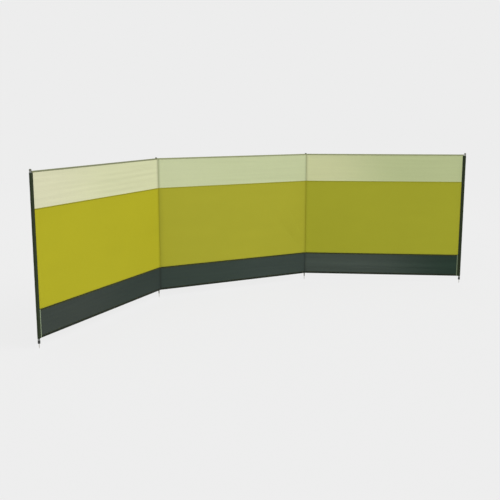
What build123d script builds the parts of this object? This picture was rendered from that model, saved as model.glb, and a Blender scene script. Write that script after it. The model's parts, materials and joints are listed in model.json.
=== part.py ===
from build123d import *
import os
from math import cos, radians, sin

# A beach windbreak: three bays of cloth in three colours, held up by four two-part steel poles
# whose spikes are pushed into the ground. Millimetres, +Z up. The origin is the centre of the flat
# underside of the left middle pole's foot, level with the ground. The centre bay runs along +X,
# and -Y is the sheltered side, which the two outer bays are swung towards.

# Cloth
BAY_WIDTH = 1525.0
CLOTH_HEIGHT = 1200.0
SKIRT_HEIGHT = 210.0
TOP_STRIP_HEIGHT = 265.0
CLOTH_THICKNESS = 1.6
HEM_ABOVE_GROUND = 36.0

# How far each outer bay is swung forward from a straight line, in degrees
LEFT_FOLD = 37.0
RIGHT_FOLD = 30.8

# Tape folded over the top edge and the bottom edge of the cloth
TAPE_THICKNESS = 0.8
BINDING_HEIGHT = 12.0
HEM_HEIGHT = 18.0
TAPE_SETBACK = 5.0

# Round seam that two bays fold about
SEAM_RADIUS = 2.5
SEAM_CLEARANCE = 0.3

# Sleeves round the poles
SLEEVE_THICKNESS = 1.2
SLEEVE_CLEARANCE = 0.4
POLE_SETBACK = 24.0
END_GAP = 3.0
END_OVERLAP = 10.0
END_FILLET = 3.0

# Steel tube in two lengths
POLE_RADIUS = 8.0
POLE_WALL = 0.8
LOWER_LENGTH = 634.0
SPIGOT_LENGTH = 60.0
SPIGOT_CHAMFER = 1.0
SLIDE_CLEARANCE = 0.1
POLE_ABOVE_CLOTH = 2.0

# Plastic cap in the top of the tube
CAP_RADIUS = 8.6
CAP_HEIGHT = 12.0
CAP_ROUNDING = 6.0
CAP_PLUG_LENGTH = 15.0
CAP_PLUG_CHAMFER = 1.2

# Plastic foot over the bottom of the tube
FOOT_WALL = 1.2
FOOT_HEIGHT = 23.0
FOOT_FLOOR = 6.0
FOOT_CHAMFER = 1.6
FOOT_RECESS_WIDTH = 1.2
FOOT_RECESS_DEPTH = 0.8

# Steel spike through the foot, with a head that sits on the foot's floor
SPIKE_RADIUS = 2.75
SPIKE_SHANK_RADIUS = 3.25
SPIKE_LENGTH = 38.0
SPIKE_POINT = 12.0
SPIKE_TIP_RADIUS = 0.5
SPIKE_HEAD_HEIGHT = 4.0
SPIKE_HEAD_CLEARANCE = 0.3

# A middle pole is shorter: its tube ends behind the hem, on a turned steel end with a plug, a
# shoulder and a stem, and its cap only just shows above the cloth
MIDDLE_POLE_BELOW_CLOTH = 6.0
MIDDLE_PLUG_LENGTH = 20.0
MIDDLE_SHOULDER_HEIGHT = 12.0
MIDDLE_STEM_RADIUS = 5.0
MIDDLE_STEM_CHAMFER = 0.4
MIDDLE_RECESS_WIDTH = 0.6

# Heights that follow
cloth_bottom = HEM_ABOVE_GROUND
cloth_top = cloth_bottom + CLOTH_HEIGHT
skirt_top = cloth_bottom + SKIRT_HEIGHT
strip_bottom = cloth_top - TOP_STRIP_HEIGHT
sleeve_top = cloth_top - BINDING_HEIGHT
pole_joint = FOOT_FLOOR + LOWER_LENGTH
pole_top = cloth_top + POLE_ABOVE_CLOTH
middle_pole_top = cloth_top - MIDDLE_POLE_BELOW_CLOTH
middle_plug_top = cloth_bottom + MIDDLE_PLUG_LENGTH

# Radii and distances that follow
pole_bore = POLE_RADIUS - POLE_WALL
sleeve_bore = POLE_RADIUS + SLEEVE_CLEARANCE
sleeve_radius = sleeve_bore + SLEEVE_THICKNESS
foot_bore = POLE_RADIUS + SLIDE_CLEARANCE
foot_radius = foot_bore + FOOT_WALL
plug_radius = pole_bore - SLIDE_CLEARANCE
spike_hole = SPIKE_SHANK_RADIUS + SLIDE_CLEARANCE
cloth_near_seam = SEAM_RADIUS + SEAM_CLEARANCE
cloth_outer_end = BAY_WIDTH - POLE_RADIUS - END_GAP
end_sleeve_edge = cloth_outer_end - END_OVERLAP


def towards(angle, distance):
    """A step of this length in plan, at an angle in degrees from +X."""
    return Vector(distance * cos(radians(angle)), distance * sin(radians(angle)), 0)


# Plan of the four poles and the two fold seams. A middle pole stands behind its seam, on the line
# that halves the angle between the two bays.
left_heading = 180 + LEFT_FOLD
right_heading = -RIGHT_FOLD
left_setback_angle = 90 + LEFT_FOLD / 2
right_setback_angle = 90 - RIGHT_FOLD / 2
left_middle_pole = Vector(0, 0, 0)
left_seam = left_middle_pole - towards(left_setback_angle, POLE_SETBACK)
right_seam = left_seam + Vector(BAY_WIDTH, 0, 0)
right_middle_pole = right_seam + towards(right_setback_angle, POLE_SETBACK)
left_end_pole = left_seam + towards(left_heading, BAY_WIDTH)
right_end_pole = right_seam + towards(right_heading, BAY_WIDTH)


def placed(part, point, heading=0.0):
    """The part moved to a point in plan and turned about the vertical."""
    return Location(point, (0, 0, heading)) * part


def turned(*profile):
    """A solid of revolution about Z, from the (radius, height) corners of its half section."""
    with BuildPart() as part:
        with BuildSketch(Plane.XZ):
            with BuildLine():
                Polyline(*profile, close=True)
            make_face()
        revolve(axis=Axis.Z)
    return part.part


def cloth(start, end, low, high):
    """One flat piece of cloth, standing along +X from start to end."""
    with BuildPart() as part:
        with Locations((start, 0, low)):
            Box(end - start, CLOTH_THICKNESS, high - low, align=(Align.MIN, Align.CENTER, Align.MIN))
    return part.part


def folded_tape(start, end, edge, height):
    """Tape folded over the cloth's edge: over its top for a height above 0, under it for one below."""
    outer_width = CLOTH_THICKNESS + 2 * TAPE_THICKNESS
    inner_height = height - TAPE_THICKNESS if height > 0 else height + TAPE_THICKNESS
    with BuildPart() as part:
        with BuildSketch(Plane.YZ.offset(start)):
            with Locations((0, edge - height / 2)):
                Rectangle(outer_width, abs(height))
            with Locations((0, edge - height + inner_height / 2)):
                Rectangle(CLOTH_THICKNESS, abs(inner_height), mode=Mode.SUBTRACT)
        extrude(amount=end - start)
    return part.part


def bay_cloth(start, end, tape_start, binding_end, hem_end):
    """The cloth of one bay, along +X from its left or inner fold seam."""
    return {
        "top_strip": cloth(start, end, strip_bottom, cloth_top - TAPE_THICKNESS),
        "main_panel": cloth(start, end, skirt_top, strip_bottom),
        "skirt": cloth(start, end, cloth_bottom + TAPE_THICKNESS, skirt_top),
        "binding": folded_tape(tape_start, binding_end, cloth_top, BINDING_HEIGHT),
        "hem": folded_tape(tape_start, hem_end, cloth_bottom, -HEM_HEIGHT),
    }


def middle_sleeve():
    """Sleeve behind the cloth: a loop round the pole, drawn together into a web and a round seam.

    The pole is at the origin, and the seam lies along -X from it.
    """
    with BuildPart() as part:
        with BuildSketch(Plane.XY.offset(cloth_bottom)):
            Circle(sleeve_radius)
            with Locations((-POLE_SETBACK, 0)):
                Circle(SEAM_RADIUS)
            with Locations((-POLE_SETBACK / 2, 0)):
                Rectangle(POLE_SETBACK, 2 * SLEEVE_THICKNESS)
            Circle(sleeve_bore, mode=Mode.SUBTRACT)
        extrude(amount=sleeve_top - cloth_bottom)
    return part.part


def end_sleeve():
    """Sleeve at the free end of an outer bay: a loop whose two lips hold the cloth between them.

    In the bay's own frame, with the pole at BAY_WIDTH along +X.
    """
    lip_width = CLOTH_THICKNESS + 2 * SLEEVE_THICKNESS
    with BuildPart() as part:
        with BuildSketch(Plane.XY.offset(cloth_bottom)) as section:
            with Locations((BAY_WIDTH, 0)):
                Circle(sleeve_radius)
            with Locations((end_sleeve_edge, 0)):
                Rectangle(BAY_WIDTH - end_sleeve_edge, lip_width, align=(Align.MIN, Align.CENTER))
            crooks = section.vertices().filter_by_position(
                Axis.X, BAY_WIDTH - sleeve_radius, BAY_WIDTH - SLEEVE_THICKNESS
            )
            fillet(crooks, END_FILLET)
            with Locations((BAY_WIDTH, 0)):
                Circle(sleeve_bore, mode=Mode.SUBTRACT)
            with Locations((end_sleeve_edge, 0)):
                Rectangle(
                    END_OVERLAP, CLOTH_THICKNESS, align=(Align.MIN, Align.CENTER), mode=Mode.SUBTRACT
                )
        extrude(amount=sleeve_top - cloth_bottom)
    return part.part


def lower_tube(bottom):
    """Lower length of the pole, plain at both ends."""
    return turned(
        (pole_bore, bottom),
        (POLE_RADIUS, bottom),
        (POLE_RADIUS, pole_joint),
        (pole_bore, pole_joint),
    )


def upper_tube(top):
    """Upper length of the pole, drawn down at its foot to a spigot that slides into the lower one."""
    spigot_bore = plug_radius - POLE_WALL
    spigot_end = pole_joint - SPIGOT_LENGTH
    return turned(
        (spigot_bore, spigot_end),
        (plug_radius - SPIGOT_CHAMFER / 2, spigot_end),
        (plug_radius, spigot_end + SPIGOT_CHAMFER),
        (plug_radius, pole_joint),
        (POLE_RADIUS, pole_joint),
        (POLE_RADIUS, top),
        (pole_bore, top),
        (pole_bore, pole_joint + POLE_WALL),
        (spigot_bore, pole_joint),
    )


def pole_cap(tube_top):
    """Domed cap that closes the top of the pole, on a plug that fills the tube."""
    plug_end = tube_top - CAP_PLUG_LENGTH
    cap_top = tube_top + CAP_HEIGHT
    body = turned(
        (0, plug_end),
        (plug_radius - CAP_PLUG_CHAMFER, plug_end),
        (plug_radius, plug_end + CAP_PLUG_CHAMFER),
        (plug_radius, tube_top),
        (CAP_RADIUS, tube_top),
        (CAP_RADIUS, cap_top),
        (0, cap_top),
    )
    top_edge = body.edges().group_by(Axis.Z)[-1]
    return fillet(top_edge, CAP_ROUNDING)


def end_foot():
    """Boot over the bottom of an end pole, with a floor that the tube and the spike's head sit on.

    Its flat underside is a ring round a shallow recess, where the spike comes out.
    """
    recess_radius = spike_hole + FOOT_RECESS_WIDTH
    return turned(
        (recess_radius, 0),
        (foot_radius - FOOT_CHAMFER, 0),
        (foot_radius, FOOT_CHAMFER),
        (foot_radius, FOOT_HEIGHT),
        (foot_bore, FOOT_HEIGHT),
        (foot_bore, FOOT_FLOOR),
        (spike_hole, FOOT_FLOOR),
        (spike_hole, FOOT_RECESS_DEPTH),
        (recess_radius, FOOT_RECESS_DEPTH),
    )


def middle_foot():
    """Turned end of a middle pole: a plug in the tube, a shoulder that the tube sits on, and a stem.

    Its flat underside is a ring as on an end pole's boot.
    """
    recess_radius = spike_hole + MIDDLE_RECESS_WIDTH
    return turned(
        (recess_radius, 0),
        (MIDDLE_STEM_RADIUS - MIDDLE_STEM_CHAMFER, 0),
        (MIDDLE_STEM_RADIUS, MIDDLE_STEM_CHAMFER),
        (MIDDLE_STEM_RADIUS, cloth_bottom - MIDDLE_SHOULDER_HEIGHT),
        (POLE_RADIUS, cloth_bottom),
        (plug_radius, cloth_bottom),
        (plug_radius, middle_plug_top),
        (spike_hole, middle_plug_top),
        (spike_hole, FOOT_RECESS_DEPTH),
        (recess_radius, FOOT_RECESS_DEPTH),
    )


def pole_spike(head_seat):
    """Pointed spike below the foot, with a head inside the tube that sits at this height."""
    head_radius = pole_bore - SPIKE_HEAD_CLEARANCE
    head_top = head_seat + SPIKE_HEAD_HEIGHT
    return turned(
        (0, -SPIKE_LENGTH),
        (SPIKE_TIP_RADIUS, -SPIKE_LENGTH),
        (SPIKE_RADIUS, SPIKE_POINT - SPIKE_LENGTH),
        (SPIKE_RADIUS, FOOT_RECESS_DEPTH),
        (SPIKE_SHANK_RADIUS, FOOT_RECESS_DEPTH),
        (SPIKE_SHANK_RADIUS, head_seat),
        (head_radius, head_seat),
        (head_radius, head_top),
        (0, head_top),
    )


def pole_pieces(tube_bottom, tube_top, foot, head_seat):
    """The five pieces of one pole, standing at the origin."""
    return {
        "lower": lower_tube(tube_bottom),
        "upper": upper_tube(tube_top),
        "cap": pole_cap(tube_top),
        "foot": foot,
        "spike": pole_spike(head_seat),
    }


def windbreak():
    """Every piece of the windbreak in its place, by name."""
    pieces = {}

    end_pole = pole_pieces(FOOT_FLOOR, pole_top, end_foot(), FOOT_FLOOR)
    middle_pole = pole_pieces(cloth_bottom, middle_pole_top, middle_foot(), middle_plug_top)
    poles = {
        "left_end_pole": (left_end_pole, end_pole),
        "left_middle_pole": (left_middle_pole, middle_pole),
        "right_middle_pole": (right_middle_pole, middle_pole),
        "right_end_pole": (right_end_pole, end_pole),
    }
    for pole_name, (point, pole) in poles.items():
        for piece_name, piece in pole.items():
            pieces[f"{pole_name}_{piece_name}"] = placed(piece, point)

    outer_bay = bay_cloth(
        start=cloth_near_seam,
        end=cloth_outer_end,
        tape_start=TAPE_SETBACK,
        binding_end=cloth_outer_end,
        hem_end=end_sleeve_edge,
    )
    outer_sleeve = end_sleeve()
    for side, seam, heading in (
        ("left", left_seam, left_heading),
        ("right", right_seam, right_heading),
    ):
        for piece_name, piece in outer_bay.items():
            pieces[f"{side}_bay_{piece_name}"] = placed(piece, seam, heading)
        pieces[f"{side}_end_sleeve"] = placed(outer_sleeve, seam, heading)

    centre_bay = bay_cloth(
        start=cloth_near_seam,
        end=BAY_WIDTH - cloth_near_seam,
        tape_start=TAPE_SETBACK,
        binding_end=BAY_WIDTH - TAPE_SETBACK,
        hem_end=BAY_WIDTH - TAPE_SETBACK,
    )
    for piece_name, piece in centre_bay.items():
        pieces[f"centre_bay_{piece_name}"] = placed(piece, left_seam)

    back_sleeve = middle_sleeve()
    pieces["left_middle_sleeve"] = placed(back_sleeve, left_middle_pole, left_setback_angle)
    pieces["right_middle_sleeve"] = placed(back_sleeve, right_middle_pole, right_setback_angle)
    return pieces


os.makedirs("parts", exist_ok=True)
for node, solid in windbreak().items():
    export_step(solid, f"parts/{node}.step")
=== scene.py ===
"""The beach windbreak as it looks: its cloth, sleeves, poles, light and camera, in metres.

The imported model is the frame. Each bay is modelled flat in its own plane, with x along the bay
from its left end as seen from the sheltered side, -y towards that side and z up. It is then given
the relief that hangs in the cloth and stood in its place.
"""

import json
import logging
import math
import random
from contextlib import contextmanager
from dataclasses import dataclass, field
from enum import Enum
from typing import Callable, Iterator, Sequence, Union

import bmesh
import bpy
import numpy as np
from mathutils import Matrix, Vector


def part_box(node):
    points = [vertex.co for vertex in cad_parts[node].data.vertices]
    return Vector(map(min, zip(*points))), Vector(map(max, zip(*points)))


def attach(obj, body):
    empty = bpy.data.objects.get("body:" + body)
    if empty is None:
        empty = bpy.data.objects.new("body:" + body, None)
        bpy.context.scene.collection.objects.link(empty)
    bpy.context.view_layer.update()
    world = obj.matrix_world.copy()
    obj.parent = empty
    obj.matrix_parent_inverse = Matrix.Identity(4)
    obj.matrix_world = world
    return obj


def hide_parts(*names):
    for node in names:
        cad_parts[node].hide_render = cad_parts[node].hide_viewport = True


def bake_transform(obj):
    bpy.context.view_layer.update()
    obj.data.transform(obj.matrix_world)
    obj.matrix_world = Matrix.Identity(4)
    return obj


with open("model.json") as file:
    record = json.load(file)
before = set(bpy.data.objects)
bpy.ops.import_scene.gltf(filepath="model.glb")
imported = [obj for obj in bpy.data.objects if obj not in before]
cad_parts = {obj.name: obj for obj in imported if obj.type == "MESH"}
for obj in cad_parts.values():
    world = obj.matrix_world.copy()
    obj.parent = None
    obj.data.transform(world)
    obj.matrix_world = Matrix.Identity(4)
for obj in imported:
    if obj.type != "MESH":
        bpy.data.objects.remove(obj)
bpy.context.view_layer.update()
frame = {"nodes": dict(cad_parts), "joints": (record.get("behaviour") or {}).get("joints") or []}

log = logging.getLogger("windbreak")

Colour = tuple[int, int, int]
Linear = tuple[float, float, float, float]
Span = tuple[float, float]
SocketKey = Union[str, int]

CLOTH_MAP = "cloth"
FULL_TURN = 2 * math.pi
SAME_PLACE = 1e-6


class Side(Enum):
    """Which side of the cloth something lies on, as the sign of y."""

    SHELTERED = -1
    WINDWARD = 1


class Axis(Enum):
    """Which way a piece is cut into lengths, as the place of x or z in a vector."""

    ALONG = 0
    UP = 2


class PanelKind(Enum):
    """The three widths of cloth that make a bay, from the top down."""

    TOP_STRIP = "top_strip"
    MAIN_PANEL = "main_panel"
    SKIRT = "skirt"


# Modelling on the bench


def deselect_all() -> None:
    """Leave nothing selected, in object mode."""
    if bpy.context.object and bpy.context.object.mode != "OBJECT":
        bpy.ops.object.mode_set(mode="OBJECT")
    bpy.ops.object.select_all(action="DESELECT")


class Workpiece:
    """One mesh object while it is being modelled."""

    def __init__(self, name: str) -> None:
        """Take the active object, with its place in its mesh.

        Args:
            name: what the piece is called.
        """
        self.obj: bpy.types.Object = bpy.context.active_object
        self.obj.name = name
        self.obj.data.name = name
        self.settle()

    @classmethod
    def start(cls, name: str, add: Callable[..., object], **settings: object) -> "Workpiece":
        """Start from a primitive.

        Args:
            name: what the piece is called.
            add: the operator that adds the primitive.
            settings: what the operator takes.

        Returns:
            The new workpiece.
        """
        deselect_all()
        add(**settings)
        return cls(name)

    def select_alone(self) -> None:
        """Select this object and no other, in object mode, and make it the active one."""
        deselect_all()
        self.obj.select_set(True)
        bpy.context.view_layer.objects.active = self.obj

    def settle(self) -> None:
        """Put the object's place, turn and scale into its mesh."""
        self.select_alone()
        bpy.ops.object.transform_apply(location=True, rotation=True, scale=True)

    @contextmanager
    def editing(self) -> Iterator[None]:
        """Edit mode with nothing selected, and object mode again afterwards."""
        self.select_alone()
        bpy.ops.object.mode_set(mode="EDIT")
        bpy.ops.mesh.select_all(action="DESELECT")
        yield
        bpy.ops.object.mode_set(mode="OBJECT")

    def stretch(self, factors: Sequence[float], centre: Vector) -> None:
        """Scale the whole mesh about a point.

        Args:
            factors: how much along each axis.
            centre: the point that stays in its place.
        """
        with self.editing():
            bpy.ops.mesh.select_all(action="SELECT")
            bpy.ops.transform.resize(value=tuple(factors), center_override=tuple(centre))

    def pick_points(self, test: Callable[[Vector], bool]) -> None:
        """Select some points, and what lies wholly between them, in edit mode.

        Args:
            test: whether the point at a place is one of them.
        """
        bpy.ops.mesh.select_mode(type="VERT")
        bpy.ops.mesh.select_all(action="DESELECT")
        mesh = bmesh.from_edit_mesh(self.obj.data)
        for point in mesh.verts:
            point.select_set(bool(test(point.co)))
        mesh.select_flush_mode()
        bmesh.update_edit_mesh(self.obj.data)

    def pick_edges(self, test: Callable[[Vector, Vector], bool]) -> None:
        """Select some edges, in edit mode.

        Args:
            test: whether the edge between two places is one of them.
        """
        bpy.ops.mesh.select_mode(type="EDGE")
        bpy.ops.mesh.select_all(action="DESELECT")
        mesh = bmesh.from_edit_mesh(self.obj.data)
        for edge in mesh.edges:
            edge.select_set(bool(test(edge.verts[0].co, edge.verts[1].co)))
        bmesh.update_edit_mesh(self.obj.data)

    def extrude(self, step: Sequence[float]) -> None:
        """Extrude what is selected, in edit mode, by a step."""
        bpy.ops.mesh.extrude_region_move(TRANSFORM_OT_translate={"value": tuple(step)})

    def cut_into_lengths(self, axis: Axis, lengths: int) -> None:
        """Divide every edge that runs along an axis, which cuts rings round the piece.

        Args:
            axis: which way the lengths follow each other.
            lengths: how many, as near as two rounds of cutting come.
        """
        first = max(1, round(math.sqrt(lengths)))
        with self.editing():
            for cuts in (first - 1, round(lengths / first) - 1):
                if cuts > 0:
                    self.pick_edges(lambda a, b: abs((b - a).normalized()[axis.value]) > 0.9)
                    bpy.ops.mesh.subdivide(number_cuts=cuts)

    def apply_modifier(self, kind: str, **settings: Union[float, int, str, bool]) -> None:
        """Add a modifier and apply it.

        Args:
            kind: the modifier's type, such as SOLIDIFY.
            settings: its properties.
        """
        self.select_alone()
        modifier = self.obj.modifiers.new(kind.lower(), kind)
        for name, value in settings.items():
            setattr(modifier, name, value)
        bpy.ops.object.modifier_apply(modifier=modifier.name)

    def thicken(self, thickness: float) -> None:
        """Give a sheet its thickness, half to each side."""
        self.apply_modifier("SOLIDIFY", thickness=thickness, offset=0.0, use_even_offset=True)

    def points(self) -> np.ndarray:
        """The mesh's points.

        Returns:
            Their places, one (x, y, z) to a row.
        """
        flat = np.zeros(len(self.obj.data.vertices) * 3)
        self.obj.data.vertices.foreach_get("co", flat)
        return flat.reshape(-1, 3)

    def set_points(self, points: np.ndarray) -> None:
        """Move the mesh's points."""
        self.obj.data.vertices.foreach_set("co", points.ravel())
        self.obj.data.update()

    def map_cloth(self, across: Callable[[np.ndarray], np.ndarray] | None = None) -> None:
        """Write the cloth map: metres of cloth along and up, from the flat piece.

        Args:
            across: gives (along, up) for each point, where they aren't plainly x and z.
        """
        points = self.points()
        flat = points[:, [0, 2]] if across is None else across(points)
        data = self.obj.data
        while data.uv_layers:
            data.uv_layers.remove(data.uv_layers[0])
        layer = data.uv_layers.new(name=CLOTH_MAP)
        corner_points = np.zeros(len(data.loops), dtype=np.int32)
        data.loops.foreach_get("vertex_index", corner_points)
        layer.data.foreach_set("uv", flat[corner_points].astype(np.float32).ravel())

    def face_outwards(self) -> None:
        """Merge points that coincide, and turn the faces to agree."""
        with self.editing():
            bpy.ops.mesh.select_all(action="SELECT")
            bpy.ops.mesh.remove_doubles(threshold=SAME_PLACE)
            bpy.ops.mesh.normals_make_consistent(inside=False)

    def smooth(self, angle: float = 40.0) -> None:
        """Shade smooth where faces meet at less than this angle in degrees."""
        self.select_alone()
        bpy.ops.object.shade_smooth_by_angle(angle=math.radians(angle))

    def take_place(self, matrix: Matrix) -> None:
        """Move and turn the piece, with the place in its mesh."""
        self.obj.matrix_world = matrix
        self.settle()

    def copied(self, name: str) -> "Workpiece":
        """Copy the piece.

        Args:
            name: what the copy is called.

        Returns:
            The copy, with a mesh of its own.
        """
        self.select_alone()
        bpy.ops.object.duplicate(linked=False)
        return Workpiece(name)

    def absorb(self, others: Sequence["Workpiece"]) -> None:
        """Join other workpieces into this one.

        Args:
            others: the workpieces, which are gone afterwards.
        """
        self.select_alone()
        for piece in others:
            piece.obj.select_set(True)
        bpy.ops.object.join()

    def discard(self) -> None:
        """Delete the workpiece."""
        self.select_alone()
        bpy.ops.object.delete()

    def wear(self, material: bpy.types.Material) -> None:
        """Put the whole piece in one material."""
        self.obj.data.materials.clear()
        self.obj.data.materials.append(material)


# Writing materials


class Field:
    """A number, vector, colour or shader that varies over a surface, as a node's output."""

    def __init__(self, graph: "Graph", socket: bpy.types.NodeSocket) -> None:
        """Wrap an output socket of a graph."""
        self.graph = graph
        self.socket = socket

    def __add__(self, other: "Number") -> "Field":
        """Sum."""
        return self.graph.math("ADD", self, other)

    __radd__ = __add__

    def __sub__(self, other: "Number") -> "Field":
        """Difference."""
        return self.graph.math("SUBTRACT", self, other)

    def __rsub__(self, other: "Number") -> "Field":
        """Difference, the other way round."""
        return self.graph.math("SUBTRACT", other, self)

    def __mul__(self, other: "Number") -> "Field":
        """Product."""
        return self.graph.math("MULTIPLY", self, other)

    __rmul__ = __mul__

    def __abs__(self) -> "Field":
        """Size without sign."""
        return self.graph.math("ABSOLUTE", self)

    def __gt__(self, other: "Number") -> "Field":
        """1 where greater, else 0."""
        return self.graph.math("GREATER_THAN", self, other)

    def sine(self) -> "Field":
        """Sine of an angle in radians."""
        return self.graph.math("SINE", self)

    def step(self, start: float, end: float) -> "Field":
        """Rise smoothly.

        Args:
            start: the value up to which the step is 0.
            end: the value from which it is 1.

        Returns:
            The step.
        """
        node = self.graph.node(
            "ShaderNodeMapRange",
            {"interpolation_type": "SMOOTHSTEP", "clamp": True},
            {"Value": self, "From Min": start, "From Max": end, "To Min": 0.0, "To Max": 1.0},
        )
        return self.graph.out(node, "Result")


Number = Union[Field, float]


def linear(colour: Colour, share: float = 1.0) -> Linear:
    """A colour as the linear values that a node takes.

    Args:
        colour: the colour as sRGB, from 0 to 255.
        share: how much of it is left.

    Returns:
        Red, green, blue and opacity.
    """
    values = [value / 255 for value in colour]
    red, green, blue = [v / 12.92 if v <= 0.04045 else ((v + 0.055) / 1.055) ** 2.4 for v in values]
    return (red * share, green * share, blue * share, 1.0)


def shaded(colour: Colour, share: float) -> Colour:
    """A colour made darker, as sRGB."""
    return tuple(round(value * share) for value in colour)


class Graph:
    """A tree of shader nodes while it is being written."""

    def __init__(self, tree: bpy.types.NodeTree) -> None:
        """Take the tree."""
        self.tree = tree

    def node(
        self, kind: str, settings: dict[str, object], inputs: dict[SocketKey, object]
    ) -> bpy.types.Node:
        """Make a node.

        Args:
            kind: its type.
            settings: its properties, which are set first.
            inputs: what each socket holds, by name or number: a Field, or a value.

        Returns:
            The new node.
        """
        made = self.tree.nodes.new(kind)
        for name, value in settings.items():
            setattr(made, name, value)
        for key, value in inputs.items():
            self.feed(made.inputs[key], value)
        return made

    def feed(self, socket: bpy.types.NodeSocket, value: object) -> None:
        """Link a Field to a socket, or set the socket's own value.

        Args:
            socket: the socket.
            value: the Field or the value.
        """
        if isinstance(value, Field):
            self.tree.links.new(value.socket, socket)
        else:
            socket.default_value = value

    def out(self, made: bpy.types.Node, key: SocketKey) -> Field:
        """A node's output by name or number."""
        return Field(self, made.outputs[key])

    def math(self, operation: str, *values: Number) -> Field:
        """A Math node on one or two values."""
        made = self.node("ShaderNodeMath", {"operation": operation}, dict(enumerate(values)))
        return self.out(made, "Value")

    def seen_directly(self) -> Field:
        """1 where the camera or a reflection looks, and 0 where light only bounces."""
        ray = self.node("ShaderNodeLightPath", {}, {})
        return self.math("MAXIMUM", self.out(ray, "Is Camera Ray"), self.out(ray, "Is Glossy Ray"))

    def shader_mix(self, share: Field, first: Field, second: Field) -> Field:
        """The first shader where share is 0 and the second where it is 1."""
        made = self.node("ShaderNodeMixShader", {}, {0: share, 1: first, 2: second})
        return self.out(made, 0)


class MaterialGraph(Graph):
    """The nodes of one material."""

    def __init__(self, name: str) -> None:
        """Start a material with a Principled shader and its output.

        Args:
            name: what the material is called.
        """
        self.material: bpy.types.Material = bpy.data.materials.new(name)
        self.material.use_nodes = True
        super().__init__(self.material.node_tree)
        self.shader = self.found("BSDF_PRINCIPLED")

    def found(self, kind: str) -> bpy.types.Node:
        """The node of a kind that a new material has."""
        return next(n for n in self.tree.nodes if n.type == kind)

    def mix(self, share: Number, first: object, second: object) -> Field:
        """The first colour where share is 0 and the second where it is 1."""
        blend = {"data_type": "RGBA", "clamp_factor": True}
        return self.out(self.node("ShaderNodeMix", blend, {0: share, 6: first, 7: second}), 2)

    def place(self) -> Field:
        """Where a point is, in the object's own coordinates."""
        return self.out(self.node("ShaderNodeTexCoord", {}, {}), "Object")

    def cloth_place(self) -> Field:
        """Where a point is on the flat cloth, in metres along and up."""
        return self.out(self.node("ShaderNodeUVMap", {"uv_map": CLOTH_MAP}, {}), "UV")

    def split(self, vector: Field) -> tuple[Field, Field, Field]:
        """The three parts of a vector."""
        made = self.node("ShaderNodeSeparateXYZ", {}, {"Vector": vector})
        return self.out(made, "X"), self.out(made, "Y"), self.out(made, "Z")

    def stretched(self, vector: Field, *scale: float) -> Field:
        """A vector with each of its three parts multiplied."""
        made = self.node("ShaderNodeVectorMath", {"operation": "MULTIPLY"}, {0: vector, 1: scale})
        return self.out(made, "Vector")

    def noise(
        self, vector: Field, scale: float, detail: float = 2.0, roughness: float = 0.5
    ) -> Field:
        """Cloudy noise from about 0 to 1, with so many clouds to a metre."""
        inputs = {"Vector": vector, "Scale": scale, "Detail": detail, "Roughness": roughness}
        return self.out(self.node("ShaderNodeTexNoise", {}, inputs), "Fac")

    def bump(self, height: Field, depth: float) -> None:
        """Raise the surface by a height from 0 to 1, times a depth in metres."""
        raised = {"Height": height, "Strength": 1.0, "Distance": depth}
        self.finish(Normal=self.out(self.node("ShaderNodeBump", {}, raised), "Normal"))

    def finish(self, **sockets: object) -> bpy.types.Material:
        """Set the shader's sockets.

        Args:
            sockets: what each holds, named with _ for a space.

        Returns:
            The finished material.
        """
        for name, value in sockets.items():
            self.feed(self.shader.inputs[name.replace("_", " ")], value)
        return self.material


@dataclass(frozen=True)
class PaintedEdgeShade:
    """Painted shade: how much darker cloth is painted at an upright or level line, and how far to
    either side.
    """

    at: float
    reach: float
    depth: float
    level: bool = False


@dataclass(frozen=True)
class PaintedLightFalloff:
    """Painted light along a bay: the colour that cloth turns to, from a start to an end in metres,
    as the light on it changes.
    """

    start: float
    end: float
    colour: Colour


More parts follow.
